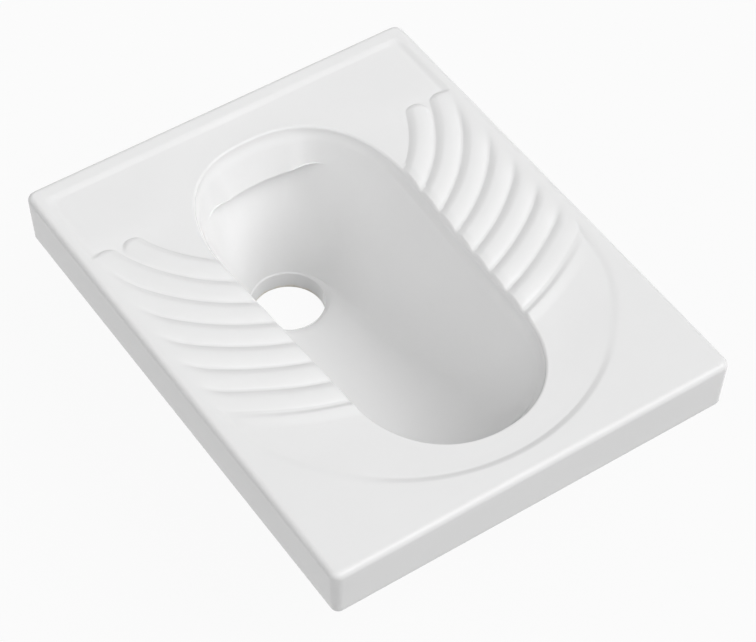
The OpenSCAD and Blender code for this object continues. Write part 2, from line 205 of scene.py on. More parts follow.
class Plan:
    """Sizes and curves that several pieces share."""

    columns = 560

    def __init__(self, scene):
        d, t, b = scene.pan_deck, scene.pan_tread, scene.pan_bowl
        self.d, self.t, self.b = d, t, b
        self.top = d.height
        self.floor = self.top - d.recess
        self.under = self.top - d.thickness
        self.foot = self.top - d.apron_height
        self.back = b.outlet_back
        self.front = self.back - d.depth
        self.side = d.width / 2
        self.tread_centre = self.back - t.centre_back
        self.back_centre = self.back - b.back_gap - b.back_length
        self.front_centre = self.front + b.front_gap + b.front_length
        self.sump = b.outlet + b.outlet_round
        self.trough = self.sump - 5 * MM
        self.outlet_depth = self.top - b.spigot
        self.back_floor = self.outlet_depth - b.outlet_round
        self.lay_out_mouth()

    # ------------------------------------------------ the mouth and the bowl
    def lay_out_mouth(self):
        """Even steps round the mouth, each with its spoke down to the outlet."""
        ease = 10 * MM  # spread of the smoothing along the mouth
        q = np.linspace(0, 4, 8001)
        line = np.array([self.mouth_point(v) for v in q])
        run = np.concatenate([[0], np.cumsum(np.hypot(*np.diff(line, axis=0).T))])
        n = self.columns * 2
        q = np.interp(np.arange(n) * run[-1] / n, run, q)
        mouth = np.array([self.mouth_point(v) for v in q])
        edge = np.array([self.trough_edge(p) for p in mouth])
        turn = np.array([self.sump_angle(v) for v in q])
        depth = self.floor_depth(edge[:, 1])
        spread = n * ease / run[-1]
        base = np.arange(n) * 360.0 / n
        self.mouth = self.relaxed(mouth, spread)
        edge = self.relaxed(edge, spread * 1.6)
        depth = self.relaxed(depth, spread * 1.6)
        turn = np.radians(self.relaxed(turn - base, spread * 2.5) + base)
        ahead = np.roll(self.mouth, -1, 0) - np.roll(self.mouth, 1, 0)
        ahead /= np.linalg.norm(ahead, axis=1)[:, None]
        self.outward = np.stack([ahead[:, 1], -ahead[:, 0]], 1)
        inward = edge - self.mouth
        inward /= np.linalg.norm(inward, axis=1)[:, None]
        b, ends = self.b, np.abs(inward[:, 1])
        end_lean = np.where(inward[:, 1] < 0, b.back_lean, b.end_lean)
        self.lean = b.side_lean + (end_lean - b.side_lean) * ends
        self.outer_lean = b.outer_side_lean + (b.outer_end_lean - b.outer_side_lean) * ends
        self.inward, self.edge, self.edge_depth, self.turn = inward, edge, depth, turn

    @staticmethod
    def relaxed(values, spread):
        """Values round a closed loop, with short waves and corners eased."""
        values = np.asarray(values, float)
        n = len(values)
        f = np.fft.rfftfreq(n)
        keep = np.exp(-2 * (math.pi * f * spread) ** 2)
        keep = keep * (2 - keep)
        spectrum = np.fft.rfft(values, axis=0)
        if values.ndim > 1:
            keep = keep[:, None]
        return np.fft.irfft(spectrum * keep, n, axis=0)

    @staticmethod
    def signed_power(v, p):
        return math.copysign(abs(v) ** p, v)

    def end_point(self, turn, centre, width, run, fullness):
        c, s = math.cos(turn), math.sin(turn)
        return np.array([
            width / 2 * self.signed_power(c, 2 / fullness),
            centre + run * self.signed_power(s, 2 / fullness),
        ])

    def back_end(self, turn):
        b = self.b
        return self.end_point(turn, self.back_centre, b.back_width, b.back_length, BACK_FULLNESS)

    def front_end(self, turn):
        b = self.b
        return self.end_point(turn, self.front_centre, b.front_width, b.front_length, FRONT_FULLNESS)

    def mouth_point(self, q):
        """The mouth's outline: back end, left side, front end, right side."""
        back, front, pi = self.back_end, self.front_end, math.pi
        if q <= 1:
            return back(pi * q)
        if q <= 2:
            return back(pi) + (front(pi) - back(pi)) * (q - 1)
        if q <= 3:
            return front(pi + pi * (q - 2))
        return front(2 * pi) + (back(0) - front(2 * pi)) * (q - 3)

    @staticmethod
    def sump_angle(q):
        """Where a spoke ends on the sump, in degrees."""
        return float(np.interp(q, [0, 1, 2, 3, 4], [0, 180, 216, 324, 360]))

    def trough_edge(self, p):
        if p[1] > 0:
            return (self.sump - 8 * MM * smooth(p[1] / (50 * MM))) * p / np.hypot(*p)
        if p[1] < self.front_centre:
            c = np.array([0, self.front_centre])
            return c + self.trough * (p - c) / np.hypot(*(p - c))
        width = self.sump + (self.trough - self.sump) * p[1] / self.front_centre
        return np.array([math.copysign(width, p[0]), p[1]])

    def floor_depth(self, y):
        """Depth of the bowl's floor; behind the outlet, where the wall turns down into it."""
        t = np.clip(y / self.front_centre, 0, 1)
        behind = smooth(np.clip(y, 0, None) / (40 * MM))
        return self.back_floor + (self.b.front_floor - self.back_floor) * t - 10 * MM * behind

    def throat(self):
        """Where each spoke meets the bore's rounding: its distance outside the bore and below the floor."""
        behind = smooth(0.45 + 0.75 * np.sin(self.turn))
        return [front + (back - front) * behind for front, back in (THROAT_EDGE, THROAT_FALL)]

    def spokes(self, t, grown=0.0):
        """Points on every spoke at t, as plan places and depths."""
        t = np.asarray(t, float)[..., None] if np.ndim(t) else t
        mouth = self.mouth + self.outward * grown
        wall = mouth + self.inward * (self.outer_lean if grown else self.lean)[:, None]
        edge, fall = self.throat()
        radius = self.sump + grown if grown else self.b.outlet + edge
        ring = np.stack([radius * np.cos(self.turn), radius * np.sin(self.turn)], 1)
        p0 = at_height(mouth, 0)
        p1 = at_height(wall, 0.75 * self.edge_depth)
        p2 = at_height(self.edge, self.edge_depth + grown)
        p3 = at_height(ring, self.back_floor + (grown or fall))
        u = 1 - t
        return u**3 * p0 + 3 * u * u * t * p1 + 3 * u * t * t * p2 + t**3 * p3

    def spoke_places(self, depth, grown=0.0):
        """The t at which each spoke reaches a depth."""
        low, high = np.zeros(len(self.mouth)), np.ones(len(self.mouth))
        for _ in range(24):
            middle = (low + high) / 2
            deeper = self.spokes(middle, grown)[:, 2] > depth
            high = np.where(deeper, middle, high)
            low = np.where(deeper, low, middle)
        return (low + high) / 2

    def at_depth(self, depth, grown=0.0):
        return self.spokes(self.spoke_places(depth, grown), grown)

    def under_lip(self):
        """How much of the undercut each spoke has: all of it round the back, none further on."""
        x, y = self.mouth.T
        return smooth((82 * MM - np.abs(x)) / (40 * MM)) * (y > 0)

    def lip_depth(self):
        """The lip is deepest in the middle of the back and rises towards its ends."""
        out = np.abs(self.mouth[:, 0])
        return self.b.lip - self.b.lip_rise * smooth((out - 22 * MM) / (46 * MM))

    def lip_edge(self):
        """The lip's lower edge: it stands further in round the back."""
        wall = self.at_depth(self.lip_depth())[:, :2]
        reach = np.sum((self.mouth - wall) * self.outward, axis=1)
        more = np.clip(self.b.lip_reach - reach, 0, None) * self.under_lip()
        return wall - self.outward * more[:, None]

    def slot_share(self):
        """How much of the flush slot's height each spoke has."""
        x, y = self.mouth.T
        return np.clip(1 - (2 * x / self.b.slot_width) ** 2, 0, 1) * (y > 0)

    # ------------------------------------------------ heights of the deck
    def mouth_distance(self, x, y):
        """Rough distance outside the mouth, for the fall of the recess."""
        x, y = np.broadcast_arrays(np.asarray(x, float), np.asarray(y, float))
        cy = np.clip(y, self.front_centre, self.back_centre)
        half_w = np.interp(y, [self.front_centre, self.back_centre],
                           [self.b.front_width / 2, self.b.back_width / 2])
        run = np.where(y > cy, self.b.back_length, self.b.front_length)
        r = np.hypot(x / half_w, (y - cy) / run)
        return (r - 1) * half_w

    def floor_height(self, x, y):
        """The recess falls a little towards the bowl, but not under the feet."""
        fall_run, feet_front, feet_back = 52 * MM, -330 * MM, 40 * MM
        away = smooth(self.mouth_distance(x, y) / fall_run)
        feet = smooth((y - feet_front) / (50 * MM)) * smooth((feet_back - y) / (40 * MM))
        corner = smooth((np.abs(x) - 105 * MM) / (80 * MM)) * smooth((-165 * MM - y) / (60 * MM))
        return self.floor + self.d.fall * away * (1 - feet) + self.d.corner_rise * corner

    def deck_height(self, x, y):
        """Border, soft step and recess, without the treads."""
        d = self.d
        centre = self.front + d.front_margin + d.front_radius
        reach = self.side - d.border_side
        x, y = np.asarray(x, float), np.asarray(y, float)
        inside_sides = reach - np.abs(x)
        inside_back = self.back - d.border_back - y
        inside_front = np.where(y < centre, d.front_radius - np.hypot(x, y - centre), 1.0)
        back_corner, front_corner = 9 * MM, 14 * MM
        inside = soft_least(inside_sides, inside_back, back_corner)
        inside = soft_least(inside, inside_front, front_corner)
        drop = smooth((inside + d.step / 2) / d.step)
        low = self.floor_height(x, y)
        return self.top + (low - self.top) * drop

    def ridge_height(self, x, y):
        """Height of the treads above the floor, on either side."""
        t = self.t
        x, y = np.broadcast_arrays(np.abs(np.asarray(x, float)), np.asarray(y, float))
        cy = self.tread_centre
        r = np.hypot(x, y - cy)
        turn = np.arctan2(y - cy, x)
        reach = self.side - self.d.border_side
        back_y = self.back - t.back
        across = (r - t.first) / t.pitch
        row = np.clip(np.floor(across), 0, t.rows - 1)
        share = np.clip(((across - row) * t.pitch - t.valley / 2) / (t.pitch - t.valley), 0, 1)
        middle = t.first + (row + 0.5) * t.pitch
        half = t.pitch / 2
        # a ridge's back end is rounded: its centre line stops half a pitch before the back line
        stop = np.arcsin(np.clip((back_y - half * 0.98 - cy) / middle, -1, 1))
        past = np.clip(turn - stop, 0, None) * middle / half
        # round on top, and steepest where it meets a groove
        behind = np.clip((t.crest - share) / t.crest, 0, 1)
        ahead = np.clip((share - t.crest) / (1 - t.crest), 0, 1)
        section = np.where(share < t.crest, 1 - behind**1.7, 1 - ahead**2.5)
        ending = np.clip(1 - np.hypot((share - 0.5) * 2, past) ** 2, 0, 1) ** 0.6
        crest = self.top - self.floor_height(x, y)
        ridge = crest * np.where(past > 0, np.minimum(section, ending * (1 + 0.2 * section)), section)
        # low half ridge in front of the last groove
        last = t.first + t.rows * t.pitch
        g = (r - last - t.valley / 2) / HALF_RIDGE_RUN
        half_ridge = HALF_RIDGE * crest * smooth(g / 0.42) * (1 - smooth((g - 0.38) / 0.80))
        inside = (r >= t.first) & (r <= last)
        # a ridge is lower where it meets the rim
        at_rim, rim_run = 0.62, 9 * MM
        ridge = ridge * (at_rim + (1 - at_rim) * smooth(self.mouth_distance(x, y) / rim_run))
        # the grooves run out at the side border
        gap = (reach + 4 * MM - x) / t.fade
        rim = 1 - smooth(gap)
        height = np.where(inside, ridge, np.where(r > last, half_ridge * smooth(gap - 0.25), 0.0))
        reach_in = smooth((last + 12 * MM - r) / (26 * MM)) * smooth((back_y + 2 * MM - y) / (8 * MM))
        return height + (crest - height) * rim * reach_in


def at_height(places, z):
    """Plan places with a height, or a depth, that they share or that each has its own of."""
    return np.column_stack([places, np.broadcast_to(z, len(places))])


def smooth(v):
    v = np.clip(v, 0, 1)
    return v * v * (3 - 2 * v)


def soft_least(a, b, width):
    """The lesser of two distances, with the corner between them rounded."""
    h = np.clip(0.5 + 0.5 * (b - a) / width, 0, 1)
    return b + (a - b) * h - width * h * (1 - h)


# ---------------------------------------------------------------- meshes
def place_sheet(bm, rows, round_columns=False, round_rows=False):
    """A grid laid over rows of points; a round one meets itself again at its last row or column."""
    rows = np.asarray(rows, float)
    if round_columns:
        rows = np.concatenate([rows, rows[:, :1]], 1)
    if round_rows:
        rows = np.concatenate([rows, rows[:1]], 0)
    m, n = rows.shape[:2]
    made = bmesh.ops.create_grid(bm, x_segments=n - 1, y_segments=m - 1, size=1.0)
    for v in made["verts"]:
        i = round((v.co.y + 1) / 2 * (m - 1))
        j = round((v.co.x + 1) / 2 * (n - 1))
        v.co = rows[i, j]
    if round_columns or round_rows:
        bmesh.ops.remove_doubles(bm, verts=bm.verts, dist=1e-7)
    return made["verts"]


def spin_profile(bm, profile, segments=96, centre=(0, 0, 0), axis=(0, 0, 1), closed=True):
    """Turns a profile of (radius, height) points all the way round an axis through centre."""
    axis = Vector(axis)
    out = Vector((1, 0, 0)) if abs(axis.x) < 0.9 else Vector((0, 1, 0))
    centre = Vector(centre)
    verts = [bm.verts.new(centre + out * r + axis * h) for r, h in profile]
    pairs = list(zip(verts, verts[1:])) + ([(verts[-1], verts[0])] if closed else [])
    edges = [bm.edges.new(p) for p in pairs]
    bmesh.ops.spin(
        bm, geom=verts + edges, cent=centre, axis=axis, dvec=(0, 0, 0),
        angle=2 * math.pi, steps=segments, use_merge=True, use_duplicate=False,
    )


def round_corners(profile, radius, steps=4):
    """Rounds the corners of a closed profile of (radius, height) points."""
    out = []
    n = len(profile)
    for i in range(n):
        a, p, b = (Vector(profile[(i + k) % n]) for k in (-1, 0, 1))
        r = radius[i] if isinstance(radius, (list, tuple)) else radius
        ta, tb = (a - p), (b - p)
        cut = min(r, 0.45 * ta.length, 0.45 * tb.length)
        if cut <= 0:
            out.append(tuple(p))
            continue
        pa, pb = p + ta.normalized() * cut, p + tb.normalized() * cut
        for k in range(steps + 1):
            t = k / steps
            out.append(tuple((1 - t) ** 2 * pa + 2 * t * (1 - t) * p + t * t * pb))
    return out


def finish_piece(bm, name, material, nodes, crease=38):
    """Closes a mesh into a piece that rides on the pan and stands for its CAD nodes."""
    bmesh.ops.remove_doubles(bm, verts=bm.verts, dist=1e-6)
    bmesh.ops.recalc_face_normals(bm, faces=bm.faces)
    mesh = bpy.data.meshes.new(name)
    bm.to_mesh(mesh)
    bm.free()
    mesh.polygons.foreach_set("use_smooth", [True] * len(mesh.polygons))
    mesh.set_sharp_from_angle(angle=math.radians(crease))
    mesh.materials.append(material)
    piece = bpy.data.objects.new(name, mesh)
    bpy.context.scene.collection.objects.link(piece)
    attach(piece, "root")
    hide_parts(*nodes)
    return piece


# ---------------------------------------------------------------- materials
class Nodes:
    """Short names for the nodes of one material."""

    def __init__(self, name):
        self.material = bpy.data.materials.get(name) or bpy.data.materials.new(name)
        self.material.use_nodes = True
        self.tree = self.material.node_tree
        self.tree.nodes.clear()
        self.out = self.add("ShaderNodeOutputMaterial")
        self.shader = self.add("ShaderNodeBsdfPrincipled")
        self.join(self.shader.outputs[0], self.out.inputs["Surface"])
        self.place = self.add("ShaderNodeTexCoord").outputs["Object"]

    def add(self, kind, **settings):
        node = self.tree.nodes.new(kind)
        for key, value in settings.items():
            setattr(node, key, value)
        return node

    def join(self, a, b):
        self.tree.links.new(a, b)

    def noise(self, scale, detail=3.0, roughness=0.5, stretch=None):
        n = self.add("ShaderNodeTexNoise")
        n.inputs["Scale"].default_value = scale
        n.inputs["Detail"].default_value = detail
        n.inputs["Roughness"].default_value = roughness
        source = self.place
        if stretch:
            mapping = self.add("ShaderNodeMapping")
            mapping.inputs["Scale"].default_value = stretch
            self.join(source, mapping.inputs["Vector"])
            source = mapping.outputs[0]
        self.join(source, n.inputs["Vector"])
        return n.outputs["Fac"]

    def ramp(self, source, stops):
        r = self.add("ShaderNodeValToRGB")
        elements = r.color_ramp.elements
        elements[0].position, elements[0].color = stops[0][0], (*stops[0][1], 1)
        elements[1].position, elements[1].color = stops[-1][0], (*stops[-1][1], 1)
        for position, value in stops[1:-1]:
            e = elements.new(position)
            e.color = (*value, 1)
        self.join(source, r.inputs["Fac"])
        return r.outputs["Color"]

    def span(self, source, low, high, from_low=0.3, from_high=0.7):
        m = self.add("ShaderNodeMapRange")
        ends = {"From Min": from_low, "From Max": from_high, "To Min": low, "To Max": high}
        for key, value in ends.items():
            m.inputs[key].default_value = value
        self.join(source, m.inputs["Value"])
        return m.outputs["Result"]

    def mix(self, fac, a, b, mode="MIX"):
        m = self.add("ShaderNodeMix", data_type="RGBA", blend_type=mode)
        if hasattr(fac, "links"):
            self.join(fac, m.inputs["Factor"])
        else:
            m.inputs["Factor"].default_value = fac
        for value, key in ((a, "A"), (b, "B")):
            sockets = [s for s in m.inputs if s.name == key and s.type == "RGBA"]
            if hasattr(value, "links"):
                self.join(value, sockets[0])
            else:
                sockets[0].default_value = (*value, 1)
        return [s for s in m.outputs if s.type == "RGBA"][0]

    def bump(self, height, strength, distance, below=None):
        b = self.add("ShaderNodeBump")
        b.inputs["Strength"].default_value = strength
        b.inputs["Distance"].default_value = distance
        self.join(height, b.inputs["Height"])
        if below is not None:
            self.join(below, b.inputs["Normal"])
        return b.outputs["Normal"]


def shade(value, factor):
    return tuple(min(1.0, c * factor) for c in value)


def bare_share(m, below, outside):
    """1 where the clay is bare: under a ragged line, and outside a radius from the outlet's axis."""
    ragged = 12 * MM
    place = m.add("ShaderNodeSeparateXYZ")
    m.join(m.place, place.inputs[0])
    wobble = m.add("ShaderNodeMath", operation="MULTIPLY_ADD")
    m.join(m.noise(38.0, 4.0, 0.6), wobble.inputs[0])
    wobble.inputs[1].default_value = ragged
    m.join(place.outputs["Z"], wobble.inputs[2])
    low = m.span(wobble.outputs[0], 1.0, 0.0, below + 5.5 * MM, below + 7.5 * MM)
    flat = m.add("ShaderNodeCombineXYZ")
    m.join(place.outputs["X"], flat.inputs["X"])
    m.join(place.outputs["Y"], flat.inputs["Y"])
    radius = m.add("ShaderNodeVectorMath", operation="LENGTH")
    m.join(flat.outputs[0], radius.inputs[0])
    far = m.span(radius.outputs["Value"], 0.0, 1.0, outside - 0.5 * MM, outside + 0.5 * MM)
    most = m.add("ShaderNodeMath", operation="MAXIMUM")
    m.join(low, most.inputs[0])
    m.join(far, most.inputs[1])
    return most.outputs[0]


def glaze(scene, bare_below=None, bare_outside=42.5 * MM):
    """White glaze, with the soft unevenness of a fired coat.

    Below a height, and outside a radius from the outlet's axis, it gives way to bare clay.
    """
    f = scene.pan_finish
    name = "white_glaze" if bare_below is None else "outlet_glaze"
    if bpy.data.materials.get(name):
        return bpy.data.materials[name]
    m = Nodes(name)
    base = f.glaze[:]
    cloud = m.noise(9.0, 3.0)
    tone = m.ramp(cloud, [(0.30, shade(base, 0.990)), (0.70, shade(base, 1.008))])
    rough = m.span(m.noise(26.0, 4.0), f.gloss * 0.85, f.gloss * 1.25)
    if bare_below is not None:
        clay, clay_rough = f.clay[:], 0.72
        grain = m.ramp(m.noise(420.0, 4.0, 0.65), [(0.25, shade(clay, 0.90)), (0.75, shade(clay, 1.06))])
        bare = bare_share(m, bare_below, bare_outside)
        tone = m.mix(bare, tone, grain)
        rough_mix = m.add("ShaderNodeMix", data_type="FLOAT")
        m.join(bare, rough_mix.inputs[0])
        m.join(rough, rough_mix.inputs[2])
        rough_mix.inputs[3].default_value = clay_rough
        rough = rough_mix.outputs[0]
    m.join(tone, m.shader.inputs["Base Color"])
    m.join(rough, m.shader.inputs["Roughness"])
    swell = m.bump(m.noise(34.0, 2.0), 0.05, 0.0008)
    m.join(m.bump(m.noise(620.0, 2.0), 0.02, 0.0002, swell), m.shader.inputs["Normal"])
    m.shader.inputs["IOR"].default_value = 1.5
    m.shader.inputs["Specular IOR Level"].default_value = 0.20
    return m.material


def bare_clay(scene):
    """Matt fired clay with fine grog specks."""
    if bpy.data.materials.get("bare_clay"):
        return bpy.data.materials["bare_clay"]
    m = Nodes("bare_clay")
    clay = scene.pan_finish.clay[:]
    body = m.ramp(m.noise(55.0, 5.0, 0.6), [(0.3, shade(clay, 0.93)), (0.7, shade(clay, 1.05))])
    speck = m.ramp(m.noise(900.0, 2.0, 0.5), [(0.34, (0.62, 0.58, 0.52)), (0.42, (1, 1, 1))])
    m.join(m.mix(1.0, body, speck, "MULTIPLY"), m.shader.inputs["Base Color"])
    m.join(m.span(m.noise(120.0, 4.0), 0.66, 0.84), m.shader.inputs["Roughness"])
    m.join(m.bump(m.noise(700.0, 4.0, 0.6), 0.28, 0.0006), m.shader.inputs["Normal"])
    return m.material


def black_rubber(scene):
    """Moulded rubber with a dusty bloom."""
    if bpy.data.materials.get("black_rubber"):
        return bpy.data.materials["black_rubber"]
    m = Nodes("black_rubber")
    rubber = scene.pan_finish.rubber[:]
    m.join(
        m.ramp(m.noise(30.0, 5.0, 0.6), [(0.35, shade(rubber, 0.9)), (0.72, shade(rubber, 1.9))]),
        m.shader.inputs["Base Color"],
    )
    m.join(m.span(m.noise(75.0, 4.0), 0.46, 0.68), m.shader.inputs["Roughness"])
    m.join(m.bump(m.noise(950.0, 3.0, 0.6), 0.2, 0.0003), m.shader.inputs["Normal"])
    return m.material


def band_steel(scene):
    """Stainless band, brushed along its length, which is round the Y axis."""
    if bpy.data.materials.get("band_steel"):
        return bpy.data.materials["band_steel"]
    m = Nodes("band_steel")
    steel = scene.pan_finish.steel[:]
    brush = m.noise(160.0, 3.0, 0.6, stretch=(0.35, 14.0, 0.35))
    m.join(
        m.ramp(brush, [(0.3, shade(steel, 0.9)), (0.7, shade(steel, 1.08))]), m.shader.inputs["Base Color"]
    )
    m.join(m.span(brush, 0.22, 0.38), m.shader.inputs["Roughness"])
    m.join(m.bump(brush, 0.12, 0.0002), m.shader.inputs["Normal"])
    m.shader.inputs["Metallic"].default_value = 1.0
    return m.material


# ---------------------------------------------------------------- deck
class PAN_OT_deck(bpy.types.Operator):
    """Deck with its border, soft steps, recess and rounded edge"""

    bl_idname = "pan.build_deck"
    bl_label = "Deck"

    def execute(self, context):
        plan = Plan(context.scene)
        outline = deck_outline(plan)
        bm = bmesh.new()
        place_sheet(bm, deck_rows(plan, outline), round_columns=True, round_rows=True)
        finish_piece(bm, "deck_shell", glaze(context.scene), ["deck"])
        return {"FINISHED"}


def deck_outline(plan):
    """Even steps round the deck, more at the corners: the corner circle's centre and the way out."""
    side_x, side_y = plan.side - plan.d.corner, plan.d.depth / 2 - plan.d.corner
    middle = (plan.front + plan.back) / 2
    long_n, short_n, corner_n = 128, 104, 14
    centres, ways = [], []

    def straight(a, b, way, n):
        for k in range(n):
            centres.append(np.array(a) + (np.array(b) - np.array(a)) * k / n)
            ways.append(way)

    def corner(c, start):
        for k in range(corner_n):
            a = math.radians(start + 90 * k / corner_n)
            centres.append(np.array(c))
            ways.append((math.cos(a), math.sin(a)))

    straight((side_x, middle - side_y), (side_x, middle + side_y), (1, 0), long_n)
    corner((side_x, middle + side_y), 0)
    straight((side_x, middle + side_y), (-side_x, middle + side_y), (0, 1), short_n)
    corner((-side_x, middle + side_y), 90)
    straight((-side_x, middle + side_y), (-side_x, middle - side_y), (-1, 0), long_n)
    corner((-side_x, middle - side_y), 180)
    straight((-side_x, middle - side_y), (side_x, middle - side_y), (0, -1), short_n)
    corner((side_x, middle - side_y), 270)
    return np.array(centres), np.array(ways, float)


def offset_outline(outline, reach):
    """The outline at a distance out from its corner circles' centres; a negative one gives square corners."""
    centres, ways = outline
    points = centres + ways * reach
    if reach < 0:
        middle = (centres.min(0) + centres.max(0)) / 2
        limit = centres.max(0) - middle + reach
        points = middle + np.clip(points - middle, -limit, limit)
    return points


def matched_mouth(plan, outline, grown):
    """For each place on the deck's outline, its partner on the mouth grown by a distance."""
    outer = offset_outline(outline, plan.d.corner)
    run = np.concatenate([[0], np.cumsum(np.hypot(*np.diff(outer, axis=0).T))])
    total = run[-1] + np.hypot(*(outer[0] - outer[-1]))
    corners = [
        (plan.side, plan.back), (-plan.side, plan.back),
        (-plan.side, plan.front), (plan.side, plan.front),
    ]
    turns = [run[np.argmin(np.hypot(*(outer - c).T))] for c in corners]
    mouth = plan.mouth + plan.outward * grown
    n = len(mouth)
    back, front = (plan.back_centre, 1, BACK_AIM), (plan.front_centre, -1, FRONT_AIM)
    aims = []
    for side, (centre, way, (out, past)) in ((1, back), (-1, back), (-1, front), (1, front)):
        target = np.array([side * out, centre + way * past])
        aims.append(int(np.argmin(np.hypot(*(mouth - target).T))))
    xs = [turns[3] - total, *turns, turns[0] + total]
    ys = [aims[3] - n, *aims, aims[0] + n]
    place = np.interp(run, xs, ys)
    low = np.floor(place).astype(int)
    part = (place - low)[:, None]
    return mouth[low % n] * (1 - part) + mouth[(low + 1) % n] * part


def deck_rows(plan, outline):
    """Rows of points from the bowl's wall out over the deck, round its edge and back underneath."""
    d = plan.d
    near = matched_mouth(plan, outline, plan.b.wall)
    far = offset_outline(outline, d.corner - d.edge)
    limits = [
        (plan.side - d.edge - far[:, 0], plan.side - d.edge - near[:, 0]),
        (plan.side - d.edge + far[:, 0], plan.side - d.edge + near[:, 0]),
        (plan.back - d.edge - far[:, 1], plan.back - d.edge - near[:, 1]),
        (far[:, 1] - plan.front - d.edge, near[:, 1] - plan.front - d.edge),
    ]
    insets = np.arange(0.75, 18.1, 0.75) * MM
    shares = []
    for inset in insets:
        t = np.zeros(len(far))
        for at_far, at_near in limits:
            rise = at_near - at_far
            t = np.maximum(t, np.where(rise > 1e-9, (inset - at_far) / np.where(rise > 1e-9, rise, 1), 0))
        shares.append(t)
    last = shares[-1]
    inner_rows = 84
    inner = [last + (1 - last) * k / inner_rows for k in range(inner_rows, 0, -1)]
    rows = []

    def lay(plan_points, z):
        rows.append(at_height(plan_points, z))

    for t in inner + shares[::-1]:
        p = far + (near - far) * t[:, None]
        lay(p, plan.deck_height(p[:, 0], p[:, 1]))
    for k in range(11):
        a = math.radians(90 * k / 10)
        reach = d.corner - d.edge + d.edge * math.sin(a)
        lay(offset_outline(outline, reach), plan.top - d.edge + d.edge * math.cos(a))
    for depth in (d.edge + 0.0004, d.thickness - 0.0002, d.thickness):
        lay(offset_outline(outline, d.corner - draft(depth)), plan.top - depth)
    lay(offset_outline(outline, d.corner - d.apron_wall - draft(d.thickness)), plan.under)
    lay(near, plan.under)
    return rows


def draft(depth, angle=3.0, start=0.008):
    """How far the outer faces stand in at a depth below the deck."""
    return math.tan(math.radians(angle)) * max(depth - start, 0)


class PAN_OT_apron(bpy.types.Operator):
    """Drafted apron round the deck, with a rounded foot"""

    bl_idname = "pan.build_apron"
    bl_label = "Apron"

    def execute(self, context):
        plan = Plan(context.scene)
        d = plan.d
        outline = deck_outline(plan)
        bm = bmesh.new()
        rows = []

        def lay(inset, depth):
            p = offset_outline(outline, d.corner - inset)
            rows.append(at_height(p, plan.top - depth))

        toe = 0.0022  # radius of the apron's rounded foot
        straight = np.linspace(d.thickness + 0.004, d.apron_height - toe, 10)
        for depth in (d.thickness, d.thickness + 0.0002, *straight):
            lay(draft(depth), depth)
        for k in range(1, 7):
            a = math.radians(90 * k / 6)
            lay(draft(d.apron_height) + toe * (1 - math.cos(a)), d.apron_height - toe + toe * math.sin(a))
        inner = draft(d.apron_height) + d.apron_wall
        for k in range(0, 7):
            a = math.radians(90 * k / 6)
            lay(inner - toe * (1 - math.sin(a)), d.apron_height - toe + toe * math.cos(a))
        lay(inner, (d.apron_height + d.thickness) / 2)
        lay(inner, d.thickness)
        place_sheet(bm, rows, round_columns=True, round_rows=True)
        finish_piece(bm, "apron_skirt", glaze(context.scene), ["apron"])
        return {"FINISHED"}


# ---------------------------------------------------------------- treads
class PAN_OT_treads(bpy.types.Operator):
    """Ribbed foot treads, right and left"""

    bl_idname = "pan.build_treads"
    bl_label = "Foot treads"

    def execute(self, context):
        plan = Plan(context.scene)
        for side, name in ((1, "right"), (-1, "left")):
            bm = bmesh.new()
            place_sheet(bm, tread_rows(plan))
            if side < 0:
                bmesh.ops.scale(bm, vec=(-1, 1, 1), verts=bm.verts)
            edges = [e for e in bm.edges if e.is_boundary]
            skirt = bmesh.ops.extrude_edge_only(bm, edges=edges)["geom"]
            for v in skirt:
                if isinstance(v, bmesh.types.BMVert):
                    v.co.z = plan.floor - 1.5 * MM
            bmesh.ops.holes_fill(bm, edges=[e for e in bm.edges if e.is_boundary], sides=0)
            finish_piece(bm, name + "_foot_tread", glaze(context.scene), [name + "_tread"], 50)
        return {"FINISHED"}


def tread_rows(plan):
    """Rows along each ridge from the bowl's rim out over the side border, for every step across."""
    t = plan.t
    cy = plan.tread_centre
    mouth = plan.mouth + plan.outward * (plan.b.rim / 2)
    keep = (mouth[:, 0] > 0) & (mouth[:, 1] < 30 * MM) & (mouth[:, 1] > -330 * MM)
    m = mouth[keep]
    r_m = np.hypot(m[:, 0], m[:, 1] - cy)
    a_m = np.arctan2(m[:, 1] - cy, m[:, 0])
    order = np.argsort(r_m)
    outer_x = plan.side - plan.d.border_side + 5.5 * MM
    back_line = plan.back - t.back + 7 * MM
    per_ridge = 24
    # closer together at the grooves, where a ridge is steepest
    even = [0, 0.08, 0.30, 0.70, 0.90, 1]
    marks = np.interp(np.arange(per_ridge) / per_ridge, even, [0, 0.046, 0.24, 0.74, 0.94, 1])
    radii = [t.first - 5 * MM, t.first - 2 * MM, t.first - 0.5 * MM]
    for row in range(t.rows):
        radii += [t.first + (row + k) * t.pitch for k in marks]
    last = t.first + t.rows * t.pitch
    radii += [last + k * MM for k in np.concatenate([[0, 0.4, 0.9], np.linspace(1.6, 19, 20)])]
    rows = []
    for r in radii:
        a0 = np.interp(r, r_m[order], a_m[order])
        a_back = math.asin((back_line - cy) / r)
        a1 = a_back if r <= outer_x else min(a_back, -math.acos(outer_x / r))
        steps = np.concatenate([[0, 0.003], np.linspace(0.012, 0.86, 54), np.linspace(0.868, 0.997, 22), [1]])
        a = a0 + (a1 - a0) * steps
        x, y = r * np.cos(a), cy + r * np.sin(a)
        z = plan.floor_height(x, y) + plan.ridge_height(x, y) + 0.04 * MM
        over = x > plan.side - plan.d.border_side - plan.d.step / 2
        z = np.maximum(z, np.where(over, plan.deck_height(x, y) + 0.02 * MM, 0))
        rows.append(np.column_stack([x, y, z]))
    return rows


